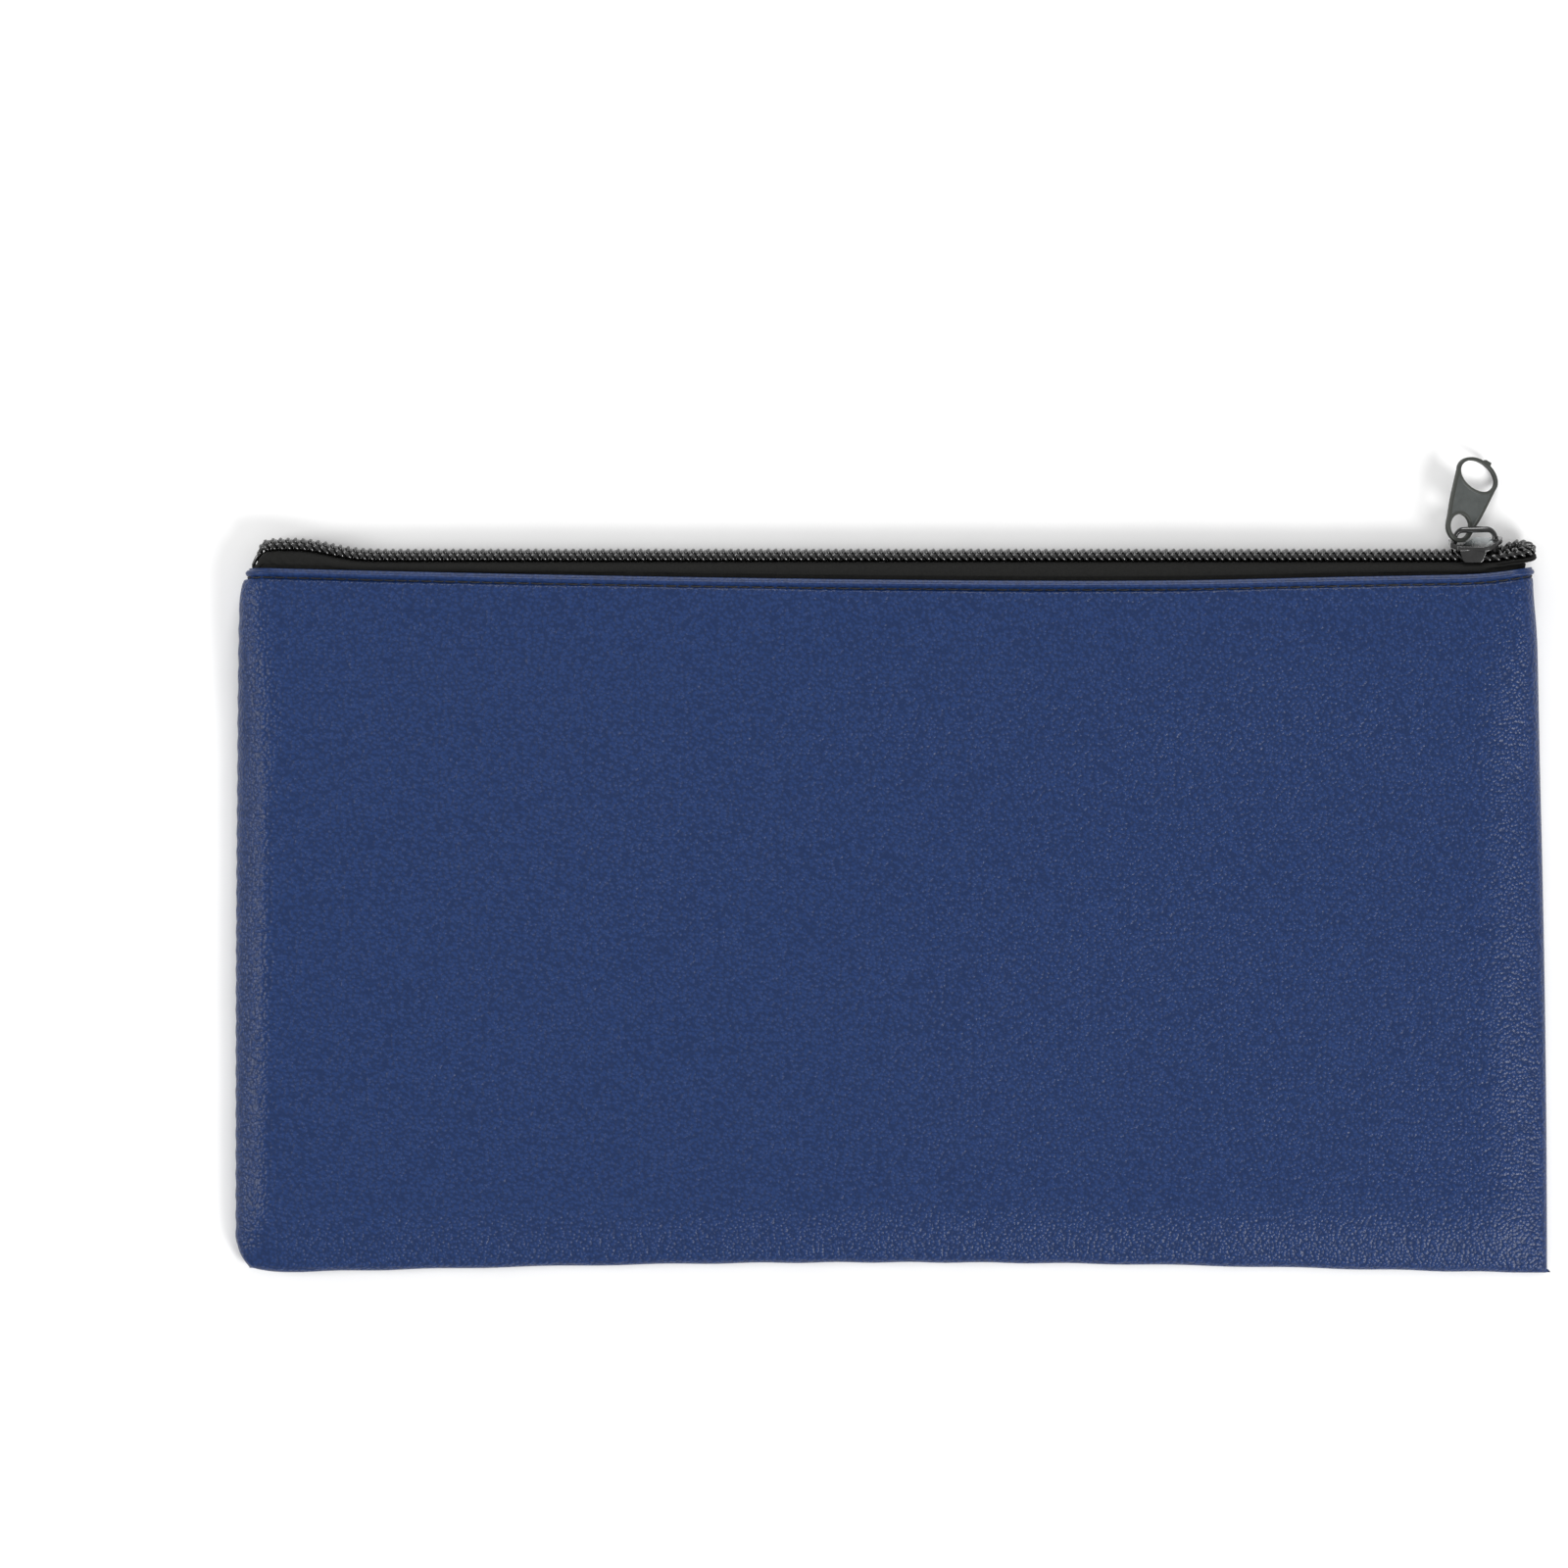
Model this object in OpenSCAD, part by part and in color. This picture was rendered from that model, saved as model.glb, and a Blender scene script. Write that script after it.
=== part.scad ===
// Zipped cash deposit bag, lying on its back.
// +X runs along the zip towards its closed end, +Y from the bag's foot to its mouth, +Z up.
// The origin is the middle of the flat face that the bag lies on. Sizes are in millimetres.

/* [Leatherette] */
// Width across the foot of the bag
foot_w = 280; // [200:1:340]
// Height of the leatherette, foot to hem, apart from the fold at the mouth
bag_h = 148.4; // [110:0.1:200]
// Thickness of the leatherette
skin_t = 0.8; // [0.5:0.05:0.9]
// Thickness of the whole bag at its mouth
mouth_t = 9.5; // [9.5:0.1:14]
// Thickness of the whole bag near its foot
foot_t = 7; // [6.5:0.1:9]
// Width of the turned-in seam allowances
allowance_w = 7; // [4:0.5:12]
// Height of the hem that shows above the stitching
hem_show = 2.3; // [1.5:0.1:4]
// Depth of the hem's inner layer
hem_depth = 10; // [7:0.5:14]

/* [Zip] */
// Closed chain's width, both rows
chain_w = 6; // [5.6:0.1:6.2]
// Height of a coil row
coil_h = 2.45; // [2:0.05:2.5]
// Thickness of the zip tape
tape_t = 0.45; // [0.3:0.05:0.5]
// How far the chain is rolled towards the front panel, in degrees
chain_roll = 10; // [0:1:12]
// Diameter of the cord inside each coil
cord_d = 1; // [0.6:0.1:1.1]

/* [Slider] */
// Length of the slider's body
slider_l = 11.1; // [9:0.1:13]
// Width of its outer plate
slider_w = 9; // [8.8:0.1:9.2]
// Thickness of each plate
plate_t = 0.9; // [0.7:0.05:1.1]
// Height of the bridge above the outer plate
bridge_h = 3.9; // [3.8:0.1:4.5]
// Diameter of the bridge's rod
bar_d = 1.1; // [0.8:0.05:1.1]
// Where the slider's middle stands at rest, from the bag's middle
slider_x = 124.5; // [-110:0.1:124.5]

/* [Pull tab] */
// Distance between the middles of the tab's two holes
tab_pitch = 11.8; // [10:0.1:16]
// Thickness of the tab
tab_t = 0.9; // [0.8:0.05:1]
// Radius of the small eye that hangs on the bridge
eye_r = 3; // [2.9:0.05:3.1]

/* [Hidden] */

// The bag's outline, which narrows to the mouth and bows in along the foot
foot_y = -bag_h / 2;
right_taper = 2.9;
left_taper = 1.5;
foot_bow = 2.2;
function height_share(y) = (y - foot_y) / bag_h;
function right_x(y) = foot_w / 2 - right_taper * pow(height_share(y), 2);
function left_x(y) = -foot_w / 2 + left_taper * pow(height_share(y), 4);
function bow_y(x) = foot_y + foot_bow * pow(max(0, 1 - pow(2 * x / foot_w, 2)), 1.5);

function smooth01(t) = let (c = min(max(t, 0), 1)) c * c * (3 - 2 * c);
function mix(a, b, t) = a + (b - a) * t;

// The chain's line and the hem's levels, as heights from the middle of the chain
chain_y = foot_y + bag_h + 4.6;
chain_z = mouth_t / 2;
hem_top = -4.6;
stitch_h = hem_top - hem_show;
hem_low = hem_top - 4;
panel_top = chain_y + hem_low;
tape_low = hem_top - 8.4;
inner_low = hem_top - hem_depth;

// Radii of the layers around the mouth, from the middle of its thickness
hem_out = mouth_t / 2;
hem_mid = hem_out - skin_t;
hem_in = hem_mid - skin_t;
groove_d = 0.3;
groove_w = 0.5;
turn_gap = 0.2;

// The coil rows' section, from the middle of the chain
row_in = 0.7;
row_out = chain_w / 2;
coil_low = -1;
coil_high = coil_low + coil_h;
row_mid = (row_in + row_out) / 2;
cord_h = (coil_low + coil_high) / 2;
cord_gap = 0.05;

// The turn of the mouth at its right end, and of the coil, which stands out past the hem
mouth_left = -135;
turn_x = 131.85;
coil_turn_x = 133.2;
turn_spread = 1.2;
tape_spread = 0.3;
spread_from = 128.5;
hump_x = -128.5;
hump_half_w = 11;
hump_rise = 2.35;
dive_from = -131.5;
dive_w = 4.5;
dive = 4;

// 1 at the chain, which rolls, lifts and spreads, and 0 in the hem, which does not
function loose(h) = smooth01((h + 4.2) / 1.4);
function chain_lift(x) =
    hump_rise * exp(-pow((x - hump_x) / hump_half_w, 2)) - dive * pow(max(0, (dive_from - x) / dive_w), 3);

// A point of the mouth: s is [x, angle round the right-hand turn], r its distance from the
// middle of the mouth's thickness, and h its height from the middle of the chain
function mouth_point(s, r, h) =
    let (
        k = loose(h),
        straight = s[1] == 0 || s[1] == 180,
        share = straight ? smooth01((s[0] - spread_from) / (turn_x - spread_from)) : 1,
        spread = share * mix(turn_spread, tape_spread, smooth01((r - row_out) / 0.5)),
        rr = r + k * spread,
        roll = k * chain_roll,
        axis_x = mix(turn_x, coil_turn_x, k),
        slip = smooth01((s[0] - 120) / (turn_x - 120)) * (axis_x - turn_x),
        x = straight ? s[0] + slip : axis_x + rr * sin(s[1]),
        w = rr * cos(s[1]),
        lift = straight ? k * chain_lift(s[0]) : 0
    )
    [x, chain_y + h * cos(roll) - w * sin(roll) + lift, chain_z + h * sin(roll) + w * cos(roll)];

// Stations round the mouth: along the front, round the turn and back along the rear. Rigid strips are
// made in these three lengths, a hair apart, so that each keeps its own shape in collision.
length_gap = 0.02;
left_xs = [mouth_left, -134, -133, -131.5, -130, -128, -126, -124, -121, -118, -115, -112, -108, -103];
right_xs = [60, 120, 124, 127, 128.5, 129.6, 130.8, turn_x];
front_xs = concat(left_xs, right_xs);
side_xs = concat([for (x = front_xs) if (x < turn_x) x], [turn_x - length_gap]);
turn_angles = [15:15:165];
front_length = [for (x = side_xs) [x, 0]];
turn_length = concat([[turn_x, 0]], [for (a = turn_angles) [0, a]], [[turn_x, 180]]);
rear_length = [for (i = [len(side_xs) - 1:-1:0]) [side_xs[i], 180]];
lengths = [front_length, turn_length, rear_length];
stations = concat(
    [for (x = front_xs) [x, 0]],
    [for (a = turn_angles) [0, a]],
    [for (i = [len(front_xs) - 1:-1:0]) [front_xs[i], 180]]
);
long_stations = concat([[mouth_left - 1, 0]], stations, [[mouth_left - 1, 180]]);

// One closed solid of a section, given as [r, h] points, carried round the stations
module round_mouth(section, route = stations) {
    n = len(section);
    m = len(route);
    points = [for (s = route, p = section) mouth_point(s, p[0], p[1])];
    sides = [
        for (j = [0:m - 2], i = [0:n - 1])
            let (a = j * n + i, b = j * n + (i + 1) % n)
            each [[a, b, b + n], [a, b + n, a + n]]
    ];
    first = [[for (i = [n - 1:-1:0]) i]];
    last = [[for (i = [0:n - 1]) (m - 1) * n + i]];
    polyhedron(points = points, faces = concat(sides, first, last), convexity = 10);
}

module in_lengths(section) {
    for (route = lengths)
        round_mouth(section, route);
}

// A strip of thickness t along a line of [r, h] points
function strip(line, t) =
    let (
        n = len(line),
        side = [
            for (i = [0:n - 1])
                let (
                    a = line[max(i - 1, 0)],
                    b = line[min(i + 1, n - 1)],
                    d = (b - a) / norm(b - a)
                )
                [-d[1], d[0]] * t / 2
        ]
    )
    concat([for (i = [0:n - 1]) line[i] - side[i]], [for (i = [n - 1:-1:0]) line[i] + side[i]]);

function ring(r, h, size, sides = 8) =
    [for (i = [0:sides - 1]) [r + size * cos((i + 0.5) * 360 / sides), h + size * sin((i + 0.5) * 360 / sides)]];

// ---- Leatherette ----

edge_r_foot = 9;
edge_r_mouth = 3.9;
function edge_r(y) = mix(edge_r_foot, edge_r_mouth, smooth01((y - 10) / 45));
function panel_h(y) = mix(foot_t, mouth_t, smooth01((y - foot_y) / 130));
function rise(d, r) = sqrt(max(0, 1 - pow(1 - min(d, r) / r, 2)));

outline_steps = 16;
outline_top = panel_top;
function side_ys(low) = [for (i = [0:outline_steps]) mix(low, outline_top, i / outline_steps)];
foot_xs = [for (i = [-outline_steps:outline_steps]) i / outline_steps];

// The panel's plan, pulled in by d
module plan(d = 0) {
    half = foot_w / 2 - d;
    foot = [for (u = foot_xs) [u * half, bow_y(u * half) + d]];
    ys = side_ys(foot_y + d + 4);
    right = [for (y = ys) [right_x(y) - d, y]];
    left = [for (i = [outline_steps:-1:0]) [left_x(ys[i]) + d, ys[i]]];
    polygon(concat(foot, right, left));
}

module back_panel() {
    color([0.13, 0.17, 0.36])
        linear_extrude(height = skin_t)
            plan();
}

// The front panel drapes down over its left, right and foot edges to the back panel
edge_rows = 7;
edge_reach = 9;
edge_in = [for (i = [0:edge_rows - 1]) edge_reach * (1 - cos(i * 90 / (edge_rows - 1)))];
across = concat(
    [for (d = edge_in) [0, d]],
    [for (i = [1:7]) [i / 8, 0]],
    [for (i = [edge_rows - 1:-1:0]) [1, -edge_in[i]]]
);
upwards = concat([for (d = edge_in) [0, d]], [for (i = [1:12]) [i / 12, 0]]);

// inset 0 gives the outer surface, and skin_t the inner one
function panel_point(a, b, inset) =
    let (
        y0 = mix(foot_y, panel_top, b[0]) + b[1],
        low = foot_y + edge_reach,
        y1 = b[0] == 0 ? y0 : mix(low, panel_top, b[0]),
        xl = left_x(y1),
        xr = right_x(y1),
        x1 = a[0] == 0 ? xl + a[1] : a[0] == 1 ? xr + a[1] : mix(xl + edge_reach, xr - edge_reach, a[0]),
        bow = (bow_y(x1) - foot_y) * (1 - smooth01((y1 - foot_y) / 40)),
        pull = inset * (1 - smooth01(b[1] / edge_reach + b[0] * 20)),
        squeeze = inset * (a[0] == 0 ? 1 - a[1] / edge_reach : a[0] == 1 ? -(1 + a[1] / edge_reach) : 0),
        across_d = a[0] == 0 ? a[1] : a[0] == 1 ? -a[1] : edge_reach,
        up_d = b[0] == 0 ? b[1] : edge_reach,
        r = edge_r(y1),
        lift = rise(across_d, r) * rise(up_d, edge_r_foot)
    )
    [x1 + squeeze, y1 + bow + pull, skin_t + (panel_h(y1) - inset - skin_t) * lift];

module front_panel() {
    nx = len(across);
    ny = len(upwards);
    outer = [for (b = upwards, a = across) panel_point(a, b, 0)];
    inner = [for (b = upwards, a = across) panel_point(a, b, skin_t)];
    half = nx * ny;
    top = [
        for (j = [0:ny - 2], i = [0:nx - 2])
            let (p = j * nx + i)
            each [[p, p + nx + 1, p + 1], [p, p + nx, p + nx + 1]]
    ];
    under = [for (f = top) [f[0] + half, f[2] + half, f[1] + half]];
    rim = concat(
        [for (i = [0:nx - 1]) i],
        [for (j = [1:ny - 1]) j * nx + nx - 1],
        [for (i = [nx - 2:-1:0]) (ny - 1) * nx + i],
        [for (j = [ny - 2:-1:1]) j * nx]
    );
    walls = [
        for (i = [0:len(rim) - 1])
            let (p = rim[i], q = rim[(i + 1) % len(rim)])
            each [[p, q, q + half], [p, q + half, p + half]]
    ];
    color([0.13, 0.17, 0.36])
        polyhedron(points = concat(outer, inner), faces = concat(top, under, walls), convexity = 10);
}

// The folded edge of the mouth: a short outer layer with the stitching's groove, a round fold,
// and a longer inner layer
module mouth_hem() {
    fold = [for (a = [0:30:180]) [hem_mid + skin_t * cos(a), hem_top - skin_t + skin_t * sin(a)]];
    section = concat(
        [
            [hem_in, inner_low],
            [hem_mid - turn_gap, inner_low],
            [hem_mid - turn_gap, hem_low],
            [hem_out, hem_low],
            [hem_out, stitch_h - groove_w / 2],
            [hem_out - groove_d, stitch_h - groove_w / 2],
            [hem_out - groove_d, stitch_h + groove_w / 2],
            [hem_out, stitch_h + groove_w / 2]
        ],
        fold
    );
    color([0.15, 0.2, 0.4])
        in_lengths(section);
}

module hem_stitching() {
    r = hem_out - groove_d / 2 - 0.01;
    color([0.04, 0.04, 0.05])
        round_mouth(ring(r, stitch_h, 0.13, 6));
}

// Seam allowances lie turned in, one on the other, along the left side and the foot
seam_gap = 2.2;
thread_gap = 1.3;
layer_gap = 0.02;
thread_w = 0.4;
allowance_top = inner_low + chain_y - 1;

module left_allowance(level) {
    low = foot_y + foot_bow + seam_gap + allowance_w + 0.5;
    color([0.1, 0.12, 0.22])
        translate([0, 0, skin_t + level * (skin_t + layer_gap)])
            linear_extrude(height = skin_t)
                polygon(concat(
                    [for (i = [0:8]) let (y = mix(low, allowance_top, i / 8)) [left_x(y) + seam_gap, y]],
                    [
                        for (i = [8:-1:0])
                            let (y = mix(low, allowance_top, i / 8))
                            [left_x(y) + seam_gap + allowance_w, y]
                    ]
                ));
}

module foot_allowance(level) {
    from = -foot_w / 2 + seam_gap;
    to = foot_w / 2 - 2 * seam_gap;
    color([0.1, 0.12, 0.22])
        translate([0, 0, skin_t + level * (skin_t + layer_gap)])
            linear_extrude(height = skin_t)
                polygon(concat(
                    [for (i = [0:20]) let (x = mix(from, to, i / 20)) [x, bow_y(x) + seam_gap]],
                    [for (i = [20:-1:0]) let (x = mix(from, to, i / 20)) [x, bow_y(x) + seam_gap + allowance_w]]
                ));
}

module left_allowance_back() {
    left_allowance(0);
}

module left_allowance_front() {
    left_allowance(1);
}

module foot_allowance_back() {
    foot_allowance(0);
}

module foot_allowance_front() {
    foot_allowance(1);
}

// A strand of thread that runs just outside the allowances, where the seam is closed
module left_seam_thread() {
    color([0.04, 0.04, 0.05])
        translate([0, 0, 2 * skin_t - thread_w / 2])
            linear_extrude(height = thread_w)
                polygon(concat(
                    [for (i = [0:8]) let (y = mix(foot_y + 4, allowance_top, i / 8)) [left_x(y) + thread_gap, y]],
                    [
                        for (i = [8:-1:0])
                            let (y = mix(foot_y + 4, allowance_top, i / 8))
                            [left_x(y) + thread_gap + thread_w, y]
                    ]
                ));
}

module foot_seam_thread() {
    from = -foot_w / 2 + 2.2;
    to = foot_w / 2 - 2.2;
    color([0.04, 0.04, 0.05])
        translate([0, 0, 2 * skin_t - thread_w / 2])
            linear_extrude(height = thread_w)
                polygon(concat(
                    [for (i = [0:20]) let (x = mix(from, to, i / 20)) [x, bow_y(x) + thread_gap]],
                    [for (i = [20:-1:0]) let (x = mix(from, to, i / 20)) [x, bow_y(x) + thread_gap + thread_w]]
                ));
}

// ---- Zip ----

// The tape lies under the coil, bends round the slider's inner plate and runs down inside the hem.
// The bend and the flat part below it are two bands, a hair apart, for the sake of their collision.
tape_mid = coil_low - tape_t / 2 - 0.02;
tape_bulge = row_out + 0.75;
tape_in_hem = hem_in - tape_t / 2 - 0.01;
tape_split = -4.65;
tape_bend = [
    [row_in + 0.2, tape_mid],
    [row_out, tape_mid],
    [tape_bulge - 0.35, tape_mid - 0.2],
    [tape_bulge - 0.05, tape_mid - 0.5],
    [tape_bulge, tape_mid - 0.9],
    [tape_bulge, -2.75],
    [tape_bulge - 0.25, -3.3],
    [tape_in_hem + 0.1, -4.1],
    [tape_in_hem, -4.4],
    [tape_in_hem, tape_split]
];
tape_flat = [[tape_in_hem, tape_split - length_gap], [tape_in_hem, tape_low]];

module zip_tape() {
    color([0.12, 0.12, 0.12])
        for (line = [tape_bend, tape_flat])
            in_lengths(strip([for (i = [len(line) - 1:-1:0]) line[i]], tape_t));
}

// One nylon coil from the left end of the front row, round the turn, to the left end of the rear row
chamfer = 0.5;
module zip_coil() {
    section = [
        [row_in + chamfer, coil_low],
        [row_out - chamfer, coil_low],
        [row_out, coil_low + chamfer],
        [row_out, coil_high - chamfer],
        [row_out - chamfer, coil_high],
        [row_in + chamfer, coil_high],
        [row_in, coil_high - chamfer],
        [row_in, coil_low + chamfer]
    ];
    color([0.05, 0.05, 0.06])
        difference() {
            in_lengths(section);
            round_mouth(ring(row_mid, cord_h, cord_d / 2 + cord_gap), long_stations);
        }
}

module coil_cord() {
    color([0.16, 0.16, 0.16])
        round_mouth(ring(row_mid, cord_h, cord_d / 2));
}

// The thread that sews the coil down, seen under the tape
module coil_stitching() {
    color([0.05, 0.05, 0.06])
        round_mouth(ring(row_mid, tape_mid - tape_t / 2 - 0.11, 0.09, 4));
}

// ---- Slider, in its own frame: x along the zip, y outwards, z across the chain ----

fine = 96;
plate_gap_out = 1.7;
plate_gap_in = -1.72;
inner_plate_t = 0.85;
inner_half = 3.3;
flange_in = row_out + 0.3;
flange_t = 0.95;
flange_low = -0.7;
flange_from = -3.7;
flange_to = 1.9;
flange_slant = 0.6;
flange_corner = 0.5;
post_half = 0.42;
post_from = 1.8;
post_to = 4.7;
arch_from = -5.1;
arch_to = 4.6;
rod_bend_r = 1.35;
bar_y = plate_gap_out + plate_t + bridge_h - bar_d / 2;

module plate_outline(half, nose, tail) {
    translate([nose - half, 0])
        circle(r = half, $fn = fine);
    polygon([
        [nose - half, half],
        [tail + 1.4, 0.86 * half],
        [tail, 0.58 * half],
        [tail, -0.58 * half],
        [tail + 1.4, -0.86 * half],
        [nose - half, -half]
    ]);
}

// An outline in x and z, raised along y from low to high
module stand(low, high) {
    translate([0, high, 0])
        rotate([90, 0, 0])
            linear_extrude(height = high - low)
                children();
}

// A quarter of a bent rod, in the plane of x and y, from the +x side to the +y side of its centre
module rod_bend() {
    rotate_extrude(angle = 90, $fn = fine)
        translate([rod_bend_r, 0])
            circle(d = bar_d, $fn = fine);
}

// The bridge is a round rod: two legs, two bends and the bar, whose middle is the pull tab's hinge line
module bridge() {
    from = arch_from + bar_d / 2;
    to = arch_to - bar_d / 2;
    leg_low = plate_gap_out + plate_t - 0.2;
    for (x = [from, to])
        translate([x, leg_low, 0])
            rotate([-90, 0, 0])
                cylinder(d = bar_d, h = bar_y - rod_bend_r - leg_low, $fn = fine);
    translate([to - rod_bend_r, bar_y - rod_bend_r, 0])
        rod_bend();
    translate([from + rod_bend_r, bar_y - rod_bend_r, 0])
        mirror([1, 0, 0])
            rod_bend();
    translate([from + rod_bend_r, bar_y, 0])
        rotate([0, 90, 0])
            cylinder(d = bar_d, h = to - from - 2 * rod_bend_r, $fn = fine);
}

module flange_outline() {
    polygon([
        [flange_from, plate_gap_out + 0.1],
        [flange_from + flange_slant, flange_low + flange_corner],
        [flange_from + flange_slant + flange_corner, flange_low],
        [flange_to - flange_slant - flange_corner, flange_low],
        [flange_to - flange_slant, flange_low + flange_corner],
        [flange_to, plate_gap_out + 0.1]
    ]);
}

module slider_local() {
    half = slider_l / 2;
    stand(plate_gap_out, plate_gap_out + plate_t)
        plate_outline(slider_w / 2, half, -half);
    stand(plate_gap_in - inner_plate_t, plate_gap_in)
        plate_outline(inner_half, half - 0.5, -half + 0.7);
    for (side = [-1, 1])
        translate([0, 0, side > 0 ? flange_in : -flange_in - flange_t])
            linear_extrude(height = flange_t)
                flange_outline();
    stand(plate_gap_in - 0.1, plate_gap_out + 0.1)
        polygon([[post_from, 0], [post_to - 1, post_half], [post_to, post_half], [post_to, -post_half], [post_to - 1, -post_half]]);
    bridge();
}

module slider_body() {
    color([0.1, 0.1, 0.11])
        translate([slider_x, chain_y, chain_z])
            rotate([chain_roll, 0, 0])
                slider_local();
}

// ---- Pull tab, in its own frame: y along it from the eye, z across its thickness ----

eye_rim = 0.8;
grip_a = 4.8;
grip_b = 2.95;
grip_rim = 0.7;
recess_d = 0.2;
tab_lean = 20;
tab_slope = 14;
tab_twist = 34;
tab_eye = [-3.6, 6.5, 0.3];

function oval(a, b, from, to, step) = [for (t = [from:step:to]) [a * cos(t), tab_pitch + b * sin(t)]];
function eye_arc(r, from, to, step) = [for (t = [from:step:to]) [r * cos(t), r * sin(t)]];

module tab_plan(d) {
    polygon(concat(
        oval(grip_a + grip_rim - d, grip_b + grip_rim - d, -14, 194, 8),
        eye_arc(eye_r + eye_rim - d, 190, 350, 8)
    ));
}

module tab_local() {
    difference() {
        translate([0, 0, -tab_t / 2])
            linear_extrude(height = tab_t)
                tab_plan(0);
        translate([0, 0, -tab_t])
            cylinder(r = eye_r, h = 2 * tab_t, $fn = fine);
        translate([0, 0, -tab_t])
            linear_extrude(height = 2 * tab_t)
                polygon(oval(grip_a, grip_b, 0, 352, 8));
        for (z = [tab_t / 2 - recess_d, -tab_t / 2 - 1 + recess_d])
            translate([0, 0, z])
                linear_extrude(height = 1)
                    difference() {
                        tab_plan(0.6);
                        circle(r = eye_r + 0.6, $fn = fine);
                        polygon(oval(grip_a + 0.5, grip_b + 0.5, 0, 352, 8));
                        translate([-20, tab_pitch])
                            square([40, 20]);
                    }
    }
    translate([0.5, tab_pitch + grip_b + grip_rim - 0.25, -0.4])
        cube([1.6, 0.7, 0.8]);
}

module pull_tab() {
    color([0.35, 0.37, 0.36])
        translate([slider_x, chain_y, chain_z])
            rotate([chain_roll, 0, 0])
                translate(tab_eye)
                    rotate([-chain_roll - tab_slope, 0, 0])
                        rotate([0, 0, -tab_lean])
                            rotate([0, tab_twist, 0])
                                tab_local();
}

back_panel();
front_panel();
mouth_hem();
left_allowance_back();
left_allowance_front();
foot_allowance_back();
foot_allowance_front();
left_seam_thread();
foot_seam_thread();
hem_stitching();
zip_tape();
zip_coil();
coil_cord();
coil_stitching();
slider_body();
pull_tab();
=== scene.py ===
"""The looks of a zipped cash deposit bag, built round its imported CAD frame.

Lengths are in millimetres until a mesh is made. The front is the side that faces up, and the rear is the side
that the bag lies on.
"""

import math
import random

import bpy
import numpy as np
from mathutils import Matrix, Vector


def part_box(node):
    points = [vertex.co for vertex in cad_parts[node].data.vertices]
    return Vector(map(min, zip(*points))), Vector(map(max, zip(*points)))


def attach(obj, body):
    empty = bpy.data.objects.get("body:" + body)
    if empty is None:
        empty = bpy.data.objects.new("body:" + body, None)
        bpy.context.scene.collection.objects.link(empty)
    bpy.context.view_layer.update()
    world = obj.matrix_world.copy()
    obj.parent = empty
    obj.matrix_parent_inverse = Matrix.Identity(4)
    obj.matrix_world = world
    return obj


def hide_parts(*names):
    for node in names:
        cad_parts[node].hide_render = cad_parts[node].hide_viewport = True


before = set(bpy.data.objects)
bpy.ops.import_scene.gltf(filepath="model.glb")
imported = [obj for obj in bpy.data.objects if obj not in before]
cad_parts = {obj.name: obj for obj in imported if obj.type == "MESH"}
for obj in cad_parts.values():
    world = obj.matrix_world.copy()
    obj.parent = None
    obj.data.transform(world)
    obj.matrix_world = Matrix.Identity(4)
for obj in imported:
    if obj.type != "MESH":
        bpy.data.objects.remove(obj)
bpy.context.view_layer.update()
rng = random.Random(7)
M = 0.001


def box_mm(node):
    low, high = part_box(node)
    return low / M, high / M


def smooth01(t):
    c = np.clip(t, 0, 1)
    return c * c * (3 - 2 * c)


def mix(a, b, t):
    return a + (b - a) * t


def rise(d, r):
    """A quarter circle of radius r, from 0 at the edge to 1 at a distance of r and beyond."""
    return np.sqrt(np.clip(1 - (1 - np.clip(d, 0, r) / r) ** 2, 0, 1))


# ---- Places taken from the frame ----

CHAIN_RISE = 4.6
ROLL = math.radians(10)
back_low, back_high = box_mm("back_panel")
hem_high = box_mm("mouth_hem")[1]
slider_low, slider_high = box_mm("slider_body")
foot_w = back_high.x - back_low.x
foot_y = back_low.y
hem_top = hem_high.y
bag_h = hem_top - foot_y
mouth_t = hem_high.z
chain_y = hem_top + CHAIN_RISE
chain_z = mouth_t / 2
turn_x = hem_high.x - mouth_t / 2
slider_x = round((slider_low.x + slider_high.x) / 2, 1)

# ---- The leatherette shell ----

EDGE_STEPS = 13
INNER_STEPS = 100
EDGE_W = 9
SKIN = 0.78
HEM_TOP = -CHAIN_RISE
STITCH_H = HEM_TOP - 2.3
INNER_LOW = HEM_TOP - 10
FOLD_R = 0.8
SEAM_Z = 1.6
FOLD_Z = 2.1
EDGE_RISE = 2.2
PUCKER_PITCH = 4.4
STITCH_PITCH = 2.6
SAG = 1.7
FOOT_T = 7
# Height in millimetres, divisors of x and y, and phase
WAVES = [(0.24, 33, 46, 1.1), (0.18, 19, -27, 0.5), (0.10, 52, 12, 0), (0.07, 9, 31, 2)]


def hem_curve(x):
    """How far the hem stands above its straight line: it dips right of the middle and climbs to both ends."""
    left = 2.4 * np.clip((42 - x) / 163, 0, None) ** 1.7
    right = 1.35 * np.clip((x - 42) / 94, 0, None) ** 1.6 + 0.3 * smooth01((x - 60) / 40)
    right = right + 1.4 * np.clip((x - 120) / 16.5, 0, 1.05) ** 2
    return left + right - 0.35


def puckers(y):
    """The pull of the left seam's stitches, from -1 to 1."""
    return np.sin(2 * math.pi * (y + 0.9 * np.sin(y / 17)) / PUCKER_PITCH)


def right_x(y):
    """The folded edge, which leans in towards the mouth."""
    return foot_w / 2 - 2.9 * ((y - foot_y) / bag_h) ** 2 - 0.6 * smooth01((y - 56) / 16)


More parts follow.
